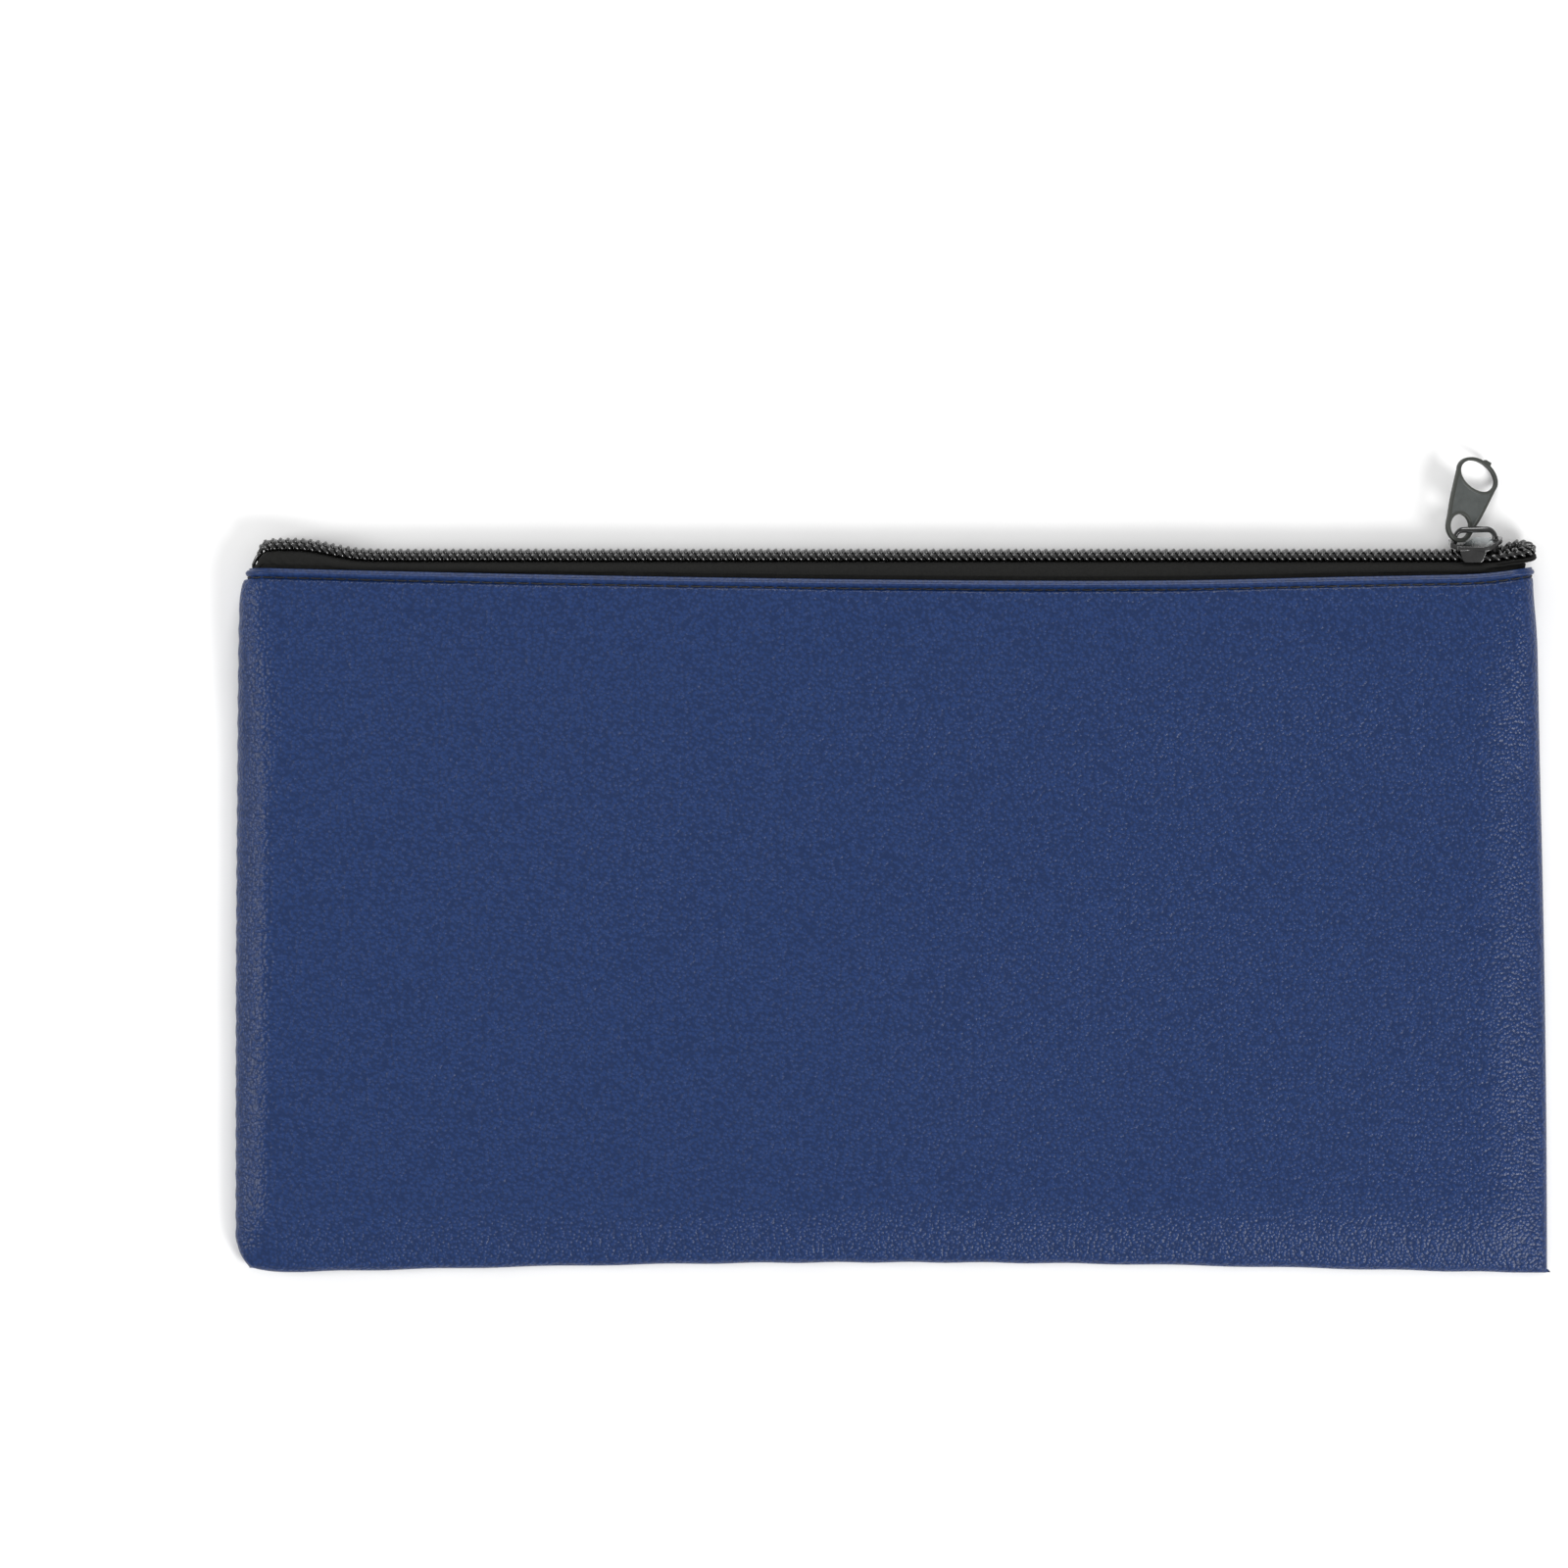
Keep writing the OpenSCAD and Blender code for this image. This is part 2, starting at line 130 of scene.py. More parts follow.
def left_x(y):
    """The sewn edge, with its rounded corners at the foot and the mouth, and its puckers."""
    share = np.clip((y - foot_y) / bag_h, 0, 1)
    low_corner = 1.5 * np.clip(1 - (y - foot_y - 1.7) / 4, 0, 1.45) ** 2
    top_corner = 2.3 * np.clip((y - 66.5) / 7.7, 0, 1) ** 2
    pucker = 0.1 * puckers(y) * (1 - smooth01((y - 62) / 8))
    return -foot_w / 2 + 1.5 * share**4 + low_corner + top_corner + pucker


def foot_line(x):
    """How far the sewn foot stands above its straight line."""
    bow = 2.2 * np.clip(1 - (2 * x / foot_w) ** 2, 0, None) ** 1.5
    corner = 1.86 * np.clip(1 - (x + 138.5) / 9, 0, 1.1) ** 2
    ripple = 0.1 * np.sin(x / 3.1 + 2 * np.sin(x / 23)) * smooth01((x + 138) / 12) * smooth01((138 - x) / 12)
    return bow + corner + ripple


def panel_height(y):
    """The bag's thickness from foot to mouth."""
    return mix(FOOT_T, mouth_t, smooth01((y - foot_y) / 130))


def edge_zone(y):
    """How wide the rounded edge is at each side of the bag."""
    return mix(EDGE_W, mouth_t / 2, smooth01((y - 10) / 45))


def bag_point(zone, side, theta, share, y, phi):
    """A point of the outer surface. zone is -1 by the left edge, 1 by the right and 0 between. side is 1 on
    the front and -1 on the rear. theta turns from the edge, and phi from the foot."""
    e = edge_zone(y)
    xl, xr = left_x(y), right_x(y)
    out = e * (1 - np.cos(theta))
    x = np.where(zone < 0, xl + out, np.where(zone > 0, xr - out, mix(xl + e, xr - e, share)))
    # Distances from the left edge, the right edge and the foot, and how far towards the mouth the point is
    dl, dr = x - xl, xr - x
    df = EDGE_W * (1 - np.cos(phi)) + np.clip(y - foot_y - EDGE_W, 0, None)
    m = smooth01((y - 28) / 42)

    # The height near the foot, where both sides meet at the seam or the fold
    across = np.clip((x + foot_w / 2) / foot_w, 0, 1)
    seam = mix(SEAM_Z, FOLD_Z, smooth01(across))
    sag = SAG * np.sin(math.pi * across) * np.sin(math.pi * np.clip((y - foot_y) / bag_h, 0, 1))
    waves = sum(height * np.sin(x / along + y / up + phase) for height, along, up, phase in WAVES)
    steep = rise(dl, 1.8) * rise(dr, 1.9) * rise(df, 1.8)
    slow = np.sin(math.pi / 2 * np.clip(dl / 8, 0, 1)) * np.sin(math.pi / 2 * np.clip(dr / 13, 0, 1))
    slow = slow * np.sin(math.pi / 2 * np.clip(df / 14, 0, 1))
    pucker = 0.22 * puckers(y) * np.exp(-(((dl - 1.6) / 2.2) ** 2))
    top = panel_height(y) - sag + waves
    low_front = seam + EDGE_RISE * steep + (top - seam - EDGE_RISE) * slow + pucker * steep
    under = rise(dl, 1.6) * rise(dr, 2.1) * rise(df, 1.6)
    low_rear = seam * (1 - under) + 0.12 * (1 + np.sin(x / 21 + y / 17)) * slow * (1 - m)

    # The height near the mouth, which the zip holds open
    half = mouth_t / 2
    shape = rise(dl, 5.5) * rise(dr, half)
    z_front = mix(low_front, half + half * shape, m)
    z_rear = mix(low_rear, half - half * shape, m)
    z = np.where(side > 0, z_front, np.where(side < 0, z_rear, mix(seam, half, m)))

    # The groove where the front and the rear meet
    notch = 0.45 * (1 - m) * np.where(zone < 0, np.exp(-((theta / 0.16) ** 2)), 0) * smooth01(phi / 0.5)
    x = x + notch
    foot_notch = 0.45 * np.exp(-((phi / 0.16) ** 2)) * (y < foot_y + EDGE_W) * smooth01(dl / 1.5)
    near_foot = 1 - smooth01((y - foot_y) / 40)
    dy = foot_line(x) * near_foot + hem_curve(x) * smooth01((y - 18) / 52) + foot_notch
    return np.stack([x, y + dy, z], axis=-1)


def outwards(points, faces):
    """The faces, turned over if the closed surface that they make is inside out."""
    p = np.asarray(points, float)
    corners = [(f[0], f[k], f[k + 1]) for f in faces for k in range(1, len(f) - 1)]
    a, b, c = (p[[t[k] for t in corners]] for k in range(3))
    inside_out = (a * np.cross(b, c)).sum() < 0
    return [f[::-1] for f in faces] if inside_out else faces


def mesh_object(name, points, faces, material, body, uvs=None):
    """A smooth piece from points in millimetres, on its body and in its material slot."""
    faces = outwards(points, faces)
    mesh = bpy.data.meshes.new(name)
    corners = [tuple(p) for p in np.asarray(points, float) * M]
    mesh.from_pydata(corners, [], [tuple(map(int, f)) for f in faces])
    mesh.validate()
    mesh.polygons.foreach_set("use_smooth", [True] * len(mesh.polygons))
    if uvs is not None:
        layer = mesh.uv_layers.new(name="UVMap")
        index = np.zeros(len(mesh.loops), np.int32)
        mesh.loops.foreach_get("vertex_index", index)
        layer.data.foreach_set("uv", np.asarray(uvs, np.float32)[index].ravel())
    obj = bpy.data.objects.new(name, mesh)
    bpy.context.scene.collection.objects.link(obj)
    obj.data.materials.append(material)
    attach(obj, body)
    return obj


def unit(v):
    return v / np.maximum(np.linalg.norm(v, axis=-1, keepdims=True), 1e-9)


def grid_normals(p):
    """Outward normals of a grid of rows by stations, where the stations close into a loop."""
    along = np.roll(p, -1, axis=1) - np.roll(p, 1, axis=1)
    up = np.empty_like(p)
    up[1:-1] = p[2:] - p[:-2]
    up[0] = p[1] - p[0]
    up[-1] = p[-1] - p[-2]
    return unit(np.cross(unit(along), unit(up)))


def leather_rows():
    """The nominal height and the turn from the foot of each row, from the foot to the hem's fold."""
    rows = [(foot_y, 0.0)]
    turn = np.linspace(0, math.pi / 2, EDGE_STEPS + 1)[1:]
    rows += [(foot_y + EDGE_W * (1 - math.cos(a)), a) for a in turn]
    heights = list(np.arange(foot_y + EDGE_W + 1.2, hem_top - 6.2, 1.25))
    heights += list(np.arange(hem_top - 5.6, hem_top - 3.4, 0.4))
    heights += list(np.linspace(hem_top - 3.3, hem_top - FOLD_R, 18))
    return rows + [(y, math.pi / 2) for y in heights]


def leather_stations():
    """Zone, side, turn from the edge and share of the width, of each station round the bag."""
    turn = list(np.linspace(0, math.pi / 2, EDGE_STEPS + 1))
    inner = [i / INNER_STEPS for i in range(1, INNER_STEPS)]
    stations = [(-1, 0, 0.0, 0.0)]
    stations += [(-1, 1, t, 0.0) for t in turn[1:]]
    stations += [(0, 1, math.pi / 2, s) for s in inner]
    stations += [(1, 1, t, 1.0) for t in reversed(turn[1:])]
    stations += [(1, 0, 0.0, 1.0)]
    stations += [(1, -1, t, 1.0) for t in turn[1:]]
    stations += [(0, -1, math.pi / 2, s) for s in reversed(inner)]
    stations += [(-1, -1, t, 0.0) for t in reversed(turn[1:])]
    return np.array(stations)


def outer_grid():
    """The leatherette's outer surface, pressed in along the stitches and plump above them."""
    rows, stations = np.array(leather_rows()), leather_stations()
    y, phi = rows[:, 0][:, None], rows[:, 1][:, None]
    zone, side, theta, share = (stations[:, k][None, :] for k in range(4))
    p = bag_point(zone, side, theta, share, y, phi)
    n = grid_normals(p)
    h = np.broadcast_to(y - chain_y, p.shape[:2])
    wander = 0.10 * np.sin(p[..., 0] / 5.3) + 0.07 * np.sin(p[..., 0] / 2.1 + 1)
    stitch_wave = 0.75 + 0.25 * np.cos(2 * math.pi * p[..., 0] / STITCH_PITCH)
    groove = -0.8 * np.exp(-(((h - STITCH_H - 0.3 * wander) / 0.4) ** 2)) * stitch_wave
    roll = np.clip((h - STITCH_H) / (HEM_TOP - FOLD_R - STITCH_H), 0, 1)
    puff = 0.42 * np.sin(math.pi * roll) ** 0.8 + 0.07 * np.exp(-(((h - STITCH_H + 1.6) / 0.9) ** 2))
    p = p + n * (groove + puff)[..., None]
    return p, grid_normals(p), h


def leather_shell(material):
    """One closed skin: the outer surface, the fold at the mouth, the hem inside it and the inner surface."""
    p, n, h = outer_grid()
    rows, count = p.shape[:2]
    up = np.array([0, 1, 0.0])
    layers = [p]
    # The fold, then the hem's inner face down, its other face up, and the panels' inner face down to the foot
    for a in np.linspace(0, math.pi, 8)[1:]:
        layers.append((p[-1] - n[-1] * FOLD_R * (1 - math.cos(a)) + up * FOLD_R * math.sin(a))[None])
    hem_rows = [j for j in range(rows) if h[j, 0] > INNER_LOW]
    down = list(reversed(hem_rows[:-1]))
    layers.append(p[down] - n[down] * (2 * FOLD_R))
    layers.append(p[hem_rows[:-1]] - n[hem_rows[:-1]] * (FOLD_R + 0.05))
    layers.append((p[-1] - n[-1] * FOLD_R)[None])
    inner = list(reversed(range(1, rows - 1)))
    layers.append(p[inner] - n[inner] * (SKIN - 0.03))
    foot_inner = p[0] + np.array([0, SKIN, 0])
    zone, theta = leather_stations()[:, 0], leather_stations()[:, 2]
    foot_inner[:, 0] -= SKIN * zone * (1 - np.sin(theta))
    layers.append(foot_inner[None])
    grid = np.concatenate(layers)
    total = grid.shape[0]
    index = np.arange(total * count).reshape(total, count)
    half = count // 2
    # The first and last rows close along the foot, so that their two sides share points
    for row in (0, total - 1):
        for i in range(1, half):
            index[row, count - i] = index[row, i]
    faces = []
    for j in range(total - 1):
        a, b = index[j], index[j + 1]
        for i in range(count):
            k = (i + 1) % count
            face = [a[i], b[i], b[k], a[k]]
            faces.append([v for q, v in enumerate(face) if v != face[q - 1]])
    used = sorted(set(v for f in faces for v in f))
    renumber = {v: q for q, v in enumerate(used)}
    faces = [[renumber[v] for v in f] for f in faces]
    obj = mesh_object("leather_body", grid.reshape(-1, 3)[used], faces, material, "bag")
    x, y = (np.array([v.co[k] for v in obj.data.vertices]) / M for k in (0, 1))
    height = y - hem_curve(x)
    taut = obj.data.attributes.new("taut", "FLOAT", "POINT")
    taut.data.foreach_set("value", smooth01((height - chain_y - STITCH_H + 0.9) / 0.8).astype(np.float32))
    return obj, p, n, h


# ---- Lines carried round the mouth ----

COIL_TURN_X = turn_x + 1.35
SPREAD = 1.2
LEFT_END = -135.9
TURN_LEN = math.pi * 3.05
COIL_R = 1.3
COIL_H = 0.225
FILAMENT_R = 0.4
COIL_PITCH = 1.6


def mouth_radius(x):
    """Half of the mouth's thickness, outside the leatherette, which closes into the seam at the left end."""
    return mouth_t / 2 * rise(x + 136.15, 5.5)


def chain_lift(x):
    """The chain's hump by the left seam, and the drop of its end into the seam."""
    hump = 2.35 * np.exp(-((np.abs(x + 128.5) / 11) ** 2.6))
    return hump - 4 * np.clip((-132.2 - x) / 3.4, 0, None) ** 3


def route(q):
    """The straight place x, and the turn's angle, at a distance q along the chain: front, turn, rear."""
    front = turn_x - LEFT_END
    back = np.where(q > front + TURN_LEN, turn_x - (q - front - TURN_LEN), turn_x)
    x = np.where(q < front, LEFT_END + q, back)
    angle = np.clip((q - front) / TURN_LEN, 0, 1) * math.pi
    return x, angle


ROUTE_LEN = 2 * (turn_x - LEFT_END) + TURN_LEN


def mouth_point(q, r, h):
    """A point at a distance r from the middle of the mouth's thickness and h above the chain's middle."""
    x0, angle = route(q)
    # k is 0 inside the hem and 1 at the chain. share is 1 by the right end, where the rows spread apart
    k = smooth01((h + 4.2) / 1.4)
    share = smooth01((x0 - 124.8) / 4)
    spread = share * mix(SPREAD, 0.3, smooth01((r - 3.1) / 0.5))
    # The rows draw together into the left seam, and the tape below them draws in by the right end
    tight = np.clip((mouth_radius(x0) - 0.9) / 3.8, 0.3, 1)
    inset = np.minimum(mouth_t / 2 - mouth_radius(x0), np.clip(r - 0.28, 0, None))
    drawn = share * smooth01((-1.7 - h) / 0.6)
    rr = mix(r - inset, mix(r * tight + spread, 0.8 * r, drawn), k)
    axis = mix(turn_x, COIL_TURN_X, k * (1 - drawn))
    slip = smooth01((x0 - 120) / (turn_x - 120)) * (axis - turn_x)
    on_turn = (angle > 0) & (angle < math.pi)
    x = np.where(on_turn, axis, x0 + slip) + rr * np.sin(angle)
    w = rr * np.cos(angle)
    roll = k * ROLL
    rear = 0.5 - 0.5 * np.cos(angle)
    open_end = 0.9 * smooth01((x - 127) / 8) + smooth01((x - 128) / 6) * rear
    lift = k * (chain_lift(x0) + open_end) + (1 - k) * hem_curve(x)
    y = chain_y + h * np.cos(roll) - w * np.sin(roll) + lift
    return np.stack([x, y, chain_z + h * np.sin(roll) + w * np.cos(roll)], axis=-1)


def tube(points, radius, sides):
    """A round strand along a line of points, by parallel transport, with pointed ends."""
    p = np.asarray(points, float)
    t = np.empty_like(p)
    t[1:-1] = p[2:] - p[:-2]
    t[0], t[-1] = p[1] - p[0], p[-1] - p[-2]
    t = unit(t)
    u = np.empty_like(p)
    start = np.cross(t[0], [0.1, 0.2, 1.0])
    u[0] = start / np.linalg.norm(start)
    for i in range(1, len(p)):
        v = u[i - 1] - t[i] * np.dot(u[i - 1], t[i])
        u[i] = v / np.linalg.norm(v)
    w = np.cross(t, u)
    a = np.arange(sides) * 2 * math.pi / sides
    radius = np.broadcast_to(np.asarray(radius, float), (len(p),))
    ring = u[:, None] * np.cos(a)[None, :, None] + w[:, None] * np.sin(a)[None, :, None]
    verts = p[:, None] + ring * radius[:, None, None]
    n = len(p)
    faces = []
    for j in range(n - 1):
        for i in range(sides):
            k = (i + 1) % sides
            faces.append([j * sides + i, j * sides + k, (j + 1) * sides + k, (j + 1) * sides + i])
    tips = [p[0] - t[0] * radius[0] * 0.5, p[-1] + t[-1] * radius[-1] * 0.5]
    for i in range(sides):
        k = (i + 1) % sides
        faces.append([i, n * sides, k])
        faces.append([(n - 1) * sides + i, (n - 1) * sides + k, n * sides + 1])
    return np.vstack([verts.reshape(-1, 3), *tips]), faces


def joined(parts):
    """Several point and face lists as one."""
    points, faces, start = [], [], 0
    for p, f in parts:
        points.append(p)
        faces += [[v + start for v in face] for face in f]
        start += len(p)
    return np.vstack(points), faces


def coil_strand():
    """One nylon filament wound into a coil. Each loop's heads reach past the middle, between those of the row
    that it meshes with, and the filament steps on by a pitch along its outer side."""
    start = 0.2
    steps = 22
    turns = round((ROUTE_LEN - 2 * start) / COIL_PITCH - 0.5)
    pitch = (ROUTE_LEN - 2 * start) / (turns + 0.5)
    a = np.linspace(-math.pi, math.pi, steps, endpoint=False)
    t = np.tile(a, turns)
    number = np.repeat(np.arange(turns), steps)
    step_on = smooth01((t + 1.0) / 2.0)
    q = pitch * (number + step_on) + start

    def power(v, e):
        return np.sign(v) * np.abs(v) ** e

    r = COIL_R + 1.34 * power(np.cos(t), 0.95)
    h = COIL_H - 0.86 * power(np.sin(t), 0.85)
    swell = 1 + 0.1 * np.clip(-np.cos(t), 0, 1) ** 4
    return tube(mouth_point(q, r, h), FILAMENT_R * swell, 8)


def sweep(section, q, shift):
    """A closed section of (r, h) points carried round the mouth, with its ends closed."""
    s = np.asarray(section, float)
    n, m = len(s), len(q)
    qq = np.repeat(q, n)
    r, h = np.tile(s[:, 0], m), np.tile(s[:, 1], m)
    points = mouth_point(qq, r + shift(qq, h), h)
    length = np.concatenate([[0], np.cumsum(np.linalg.norm(np.diff(s, axis=0), axis=1))])
    uvs = np.stack([qq * M, np.tile(length, m) * M], axis=-1)
    faces = []
    for j in range(m - 1):
        for i in range(n):
            k = (i + 1) % n
            faces.append([j * n + i, j * n + k, (j + 1) * n + k, (j + 1) * n + i])
    faces.append(list(range(n))[::-1])
    faces.append(list(range((m - 1) * n, m * n)))
    return points, faces, uvs


def thick_line(line, t):
    """The closed outline of a strip of thickness t along a line."""
    p = np.asarray(line, float)
    d = np.empty_like(p)
    d[1:-1] = p[2:] - p[:-2]
    d[0], d[-1] = p[1] - p[0], p[-1] - p[-2]
    d = unit(d)
    side = np.stack([-d[:, 1], d[:, 0]], axis=-1) * t / 2
    return np.vstack([p - side, (p + side)[::-1]])


def rounded(line, passes):
    """Corner cutting, which keeps the two ends."""
    p = np.asarray(line, float)
    for _ in range(passes):
        a, b = p[:-1], p[1:]
        cut = np.empty((2 * len(a), 2))
        cut[0::2], cut[1::2] = 0.75 * a + 0.25 * b, 0.25 * a + 0.75 * b
        p = np.vstack([p[0], cut, p[-1]])
    return p


TAPE_LINE = [
    (0.9, -1.245), (3.0, -1.245), (3.55, -1.5), (3.75, -2.0), (3.75, -2.9), (3.4, -3.6),
    (2.915, -4.5), (2.915, -9), (2.915, -13),
]


def creases(q, h):
    """Slanting creases in the tape, where it is pulled up under the coil by the left seam."""
    x = route(q)[0]
    near = np.exp(-(((x + 130.5) / 5) ** 2)) * smooth01((-h - 1.4) / 0.8) * smooth01((h + 4.8) / 0.8)
    slow = 0.05 * np.sin(x / 2.7) * smooth01((-h - 1.6) / 0.8) * smooth01((h + 4.6) / 0.8)
    return 0.17 * near * np.sin(2 * math.pi * (x * 0.75 + h * 0.6) / 1.9) + slow


def route_stations():
    """Distances along the chain, closer together at its ends and round the turn."""
    step = 1.3
    front = turn_x - LEFT_END
    fine = np.arange(0, 18, 0.4)
    mid = np.arange(18, front - 12, step)
    turn = np.arange(front - 12, front + TURN_LEN + 12, 0.45)
    back = np.arange(front + TURN_LEN + 12, ROUTE_LEN - 18, step)
    return np.concatenate([fine, mid, turn, back, np.linspace(ROUTE_LEN - 18, ROUTE_LEN, 40)])


def stitch_run(line, normals, period, thread, lift=0.12, dip=0.32, skip=0.93):
    """Separate stitches along a line of points on a surface."""
    step = np.linalg.norm(np.diff(line, axis=0), axis=1)
    s = np.concatenate([[0], np.cumsum(step)])
    parts = []
    start = 0.6
    while start + period < s[-1]:
        here = start + np.linspace(0, 1, 9) * period * (skip + rng.uniform(-0.03, 0.03))
        p = np.stack([np.interp(here, s, line[:, k]) for k in range(3)], axis=-1)
        n = unit(np.stack([np.interp(here, s, normals[:, k]) for k in range(3)], axis=-1))
        u = np.linspace(0, 1, 9)
        bend = lift * np.sin(math.pi * u) ** 0.6 - dip * (1 - np.sin(math.pi * u) ** 0.35)
        parts.append(tube(p + n * bend[:, None], thread / 2, 6))
        start += period * (1 + rng.uniform(-0.02, 0.02))
    return joined(parts)


# ---- Materials ----


def new_material(name):
    mat = bpy.data.materials.new(name)
    mat.use_nodes = True
    nodes = mat.node_tree.nodes
    return mat, nodes, mat.node_tree.links, nodes["Principled BSDF"]


def noise(nodes, links, coords, scale, detail, rough=0.55):
    n = nodes.new("ShaderNodeTexNoise")
    n.inputs["Scale"].default_value = scale
    n.inputs["Detail"].default_value = detail
    n.inputs["Roughness"].default_value = rough
    links.new(coords, n.inputs["Vector"])
    return n.outputs["Fac"]


def ramp(nodes, links, fac, stops):
    n = nodes.new("ShaderNodeValToRGB")
    n.color_ramp.elements[0].position = stops[0][0]
    n.color_ramp.elements[1].position = stops[-1][0]
    for place, _ in stops[1:-1]:
        n.color_ramp.elements.new(place)
    for element, (place, colour) in zip(n.color_ramp.elements, stops):
        element.position = place
        element.color = (*colour, 1)
    links.new(fac, n.inputs["Fac"])
    return n.outputs["Color"]


def grey(v):
    return (v, v, v)


def bump(nodes, links, height, distance, strength, normal=None, sunk=False):
    n = nodes.new("ShaderNodeBump")
    n.invert = sunk
    n.inputs["Distance"].default_value = distance
    if isinstance(strength, float):
        n.inputs["Strength"].default_value = strength
    else:
        links.new(strength, n.inputs["Strength"])
    links.new(height, n.inputs["Height"])
    if normal is not None:
        links.new(normal, n.inputs["Normal"])
    return n.outputs["Normal"]


def object_coords(nodes):
    return nodes.new("ShaderNodeTexCoord").outputs["Object"]


def marked(nodes, name):
    """The value of an attribute of the mesh."""
    n = nodes.new("ShaderNodeAttribute")
    n.attribute_name = name
    return n.outputs["Fac"]


def times_plus(nodes, links, value, factor, more):
    """value * factor + more, where more is a number or another node's output."""
    n = nodes.new("ShaderNodeMath")
    n.operation = "MULTIPLY_ADD"
    links.new(value, n.inputs[0])
    n.inputs[1].default_value = factor
    if isinstance(more, float):
        n.inputs[2].default_value = more
    else:
        links.new(more, n.inputs[2])
    return n.outputs[0]


def leather_material(name, dark, light):
    """Embossed leatherette: pebbles with painted shade in the pores between them and a painted highlight on
    their tops, smoother where the mesh is marked taut.
    """
    mat, nodes, links, bsdf = new_material(name)
    co = object_coords(nodes)
    cells = nodes.new("ShaderNodeTexVoronoi")
    cells.feature = "SMOOTH_F1"
    cells.inputs["Scale"].default_value = 1420
    cells.inputs["Smoothness"].default_value = 0.3
    warp = nodes.new("ShaderNodeVectorMath")
    warp.operation = "MULTIPLY_ADD"
    wobble = nodes.new("ShaderNodeTexNoise")
    wobble.inputs["Scale"].default_value = 900
    wobble.inputs["Detail"].default_value = 2
    links.new(co, wobble.inputs["Vector"])
    links.new(wobble.outputs["Color"], warp.inputs[0])
    warp.inputs[1].default_value = (0.0005, 0.0005, 0.0005)
    links.new(co, warp.inputs[2])
    links.new(warp.outputs[0], cells.inputs["Vector"])
    taut = marked(nodes, "taut")
    broad = noise(nodes, links, co, scale=14, detail=3)
    patch = noise(nodes, links, co, scale=260, detail=5, rough=0.6)
    fine = noise(nodes, links, co, scale=5200, detail=3)
    base = ramp(nodes, links, patch, [(0.3, dark), (0.7, light)])
    # Painted shade darkens the pores between the pebbles, and a painted highlight lightens the pebbles' tops.
    pebble_light_and_pore_shade = [(0.12, grey(1.14)), (0.4, grey(1.0)), (0.62, grey(0.72))]
    pores = ramp(nodes, links, cells.outputs["Distance"], pebble_light_and_pore_shade)
    shade = nodes.new("ShaderNodeMixRGB")
    shade.blend_type = "MULTIPLY"
    shade.inputs["Fac"].default_value = 1.0
    links.new(base, shade.inputs[1])
    links.new(pores, shade.inputs[2])
    links.new(shade.outputs[0], bsdf.inputs["Base Color"])
    rough = times_plus(nodes, links, patch, 0.08, 0.24)
    rough = times_plus(nodes, links, broad, 0.08, rough)
    links.new(times_plus(nodes, links, taut, 0.02, rough), bsdf.inputs["Roughness"])
    bsdf.inputs["Specular IOR Level"].default_value = 0.26
    depth = ramp(nodes, links, taut, [(0.0, grey(0.9)), (1.0, grey(0.14))])
    pebble = bump(nodes, links, cells.outputs["Distance"], distance=0.00021, strength=depth, sunk=True)
    soft = bump(nodes, links, patch, distance=0.00012, strength=0.3, normal=pebble)
    links.new(bump(nodes, links, fine, distance=0.00005, strength=0.5, normal=soft), bsdf.inputs["Normal"])
    return mat


def woven_material(name, dark, light, uv=True):
    """Plain weave with a little fluff."""
    mat, nodes, links, bsdf = new_material(name)
    coord = nodes.new("ShaderNodeTexCoord")
    co = coord.outputs["UV" if uv else "Object"]
    weave = []
    for scale, direction in ((130, "X"), (75, "Y")):
        w = nodes.new("ShaderNodeTexWave")
        w.wave_type = "BANDS"
        w.bands_direction = direction
        w.inputs["Scale"].default_value = scale
        w.inputs["Distortion"].default_value = 0.6
        links.new(co, w.inputs["Vector"])
        weave.append(w.outputs["Fac"])
    mul = nodes.new("ShaderNodeMath")
    mul.operation = "MULTIPLY"
    links.new(weave[0], mul.inputs[0])
    links.new(weave[1], mul.inputs[1])
    fluff = noise(nodes, links, coord.outputs["Object"], scale=2400, detail=5, rough=0.7)
    links.new(ramp(nodes, links, fluff, [(0.25, dark), (0.75, light)]), bsdf.inputs["Base Color"])
    links.new(ramp(nodes, links, fluff, [(0.2, grey(0.62)), (0.8, grey(0.9))]), bsdf.inputs["Roughness"])
    bsdf.inputs["Specular IOR Level"].default_value = 0.15
    bsdf.inputs["Sheen Weight"].default_value = 0.03
    bsdf.inputs["Sheen Roughness"].default_value = 0.5
    first = bump(nodes, links, mul.outputs[0], distance=0.00012, strength=0.6)
    links.new(bump(nodes, links, fluff, distance=0.00015, strength=0.6, normal=first), bsdf.inputs["Normal"])
    return mat


def thread_material(name, dark, light):
    mat, nodes, links, bsdf = new_material(name)
    co = object_coords(nodes)
    fibres = noise(nodes, links, co, scale=6500, detail=4, rough=0.7)
    links.new(ramp(nodes, links, fibres, [(0.3, dark), (0.7, light)]), bsdf.inputs["Base Color"])
    links.new(ramp(nodes, links, fibres, [(0.2, grey(0.45)), (0.8, grey(0.7))]), bsdf.inputs["Roughness"])
    links.new(bump(nodes, links, fibres, distance=0.00008, strength=0.6), bsdf.inputs["Normal"])
    return mat


def nylon_material():
    mat, nodes, links, bsdf = new_material("coil_nylon_look")
    co = object_coords(nodes)
    drawn = noise(nodes, links, co, scale=1800, detail=3)
    bsdf.inputs["Specular IOR Level"].default_value = 1.0
    links.new(ramp(nodes, links, drawn, [(0.3, grey(0.004)), (0.75, grey(0.011))]), bsdf.inputs["Base Color"])
    links.new(ramp(nodes, links, drawn, [(0.25, grey(0.12)), (0.8, grey(0.22))]), bsdf.inputs["Roughness"])
    links.new(bump(nodes, links, drawn, distance=0.00004, strength=0.4), bsdf.inputs["Normal"])
    return mat


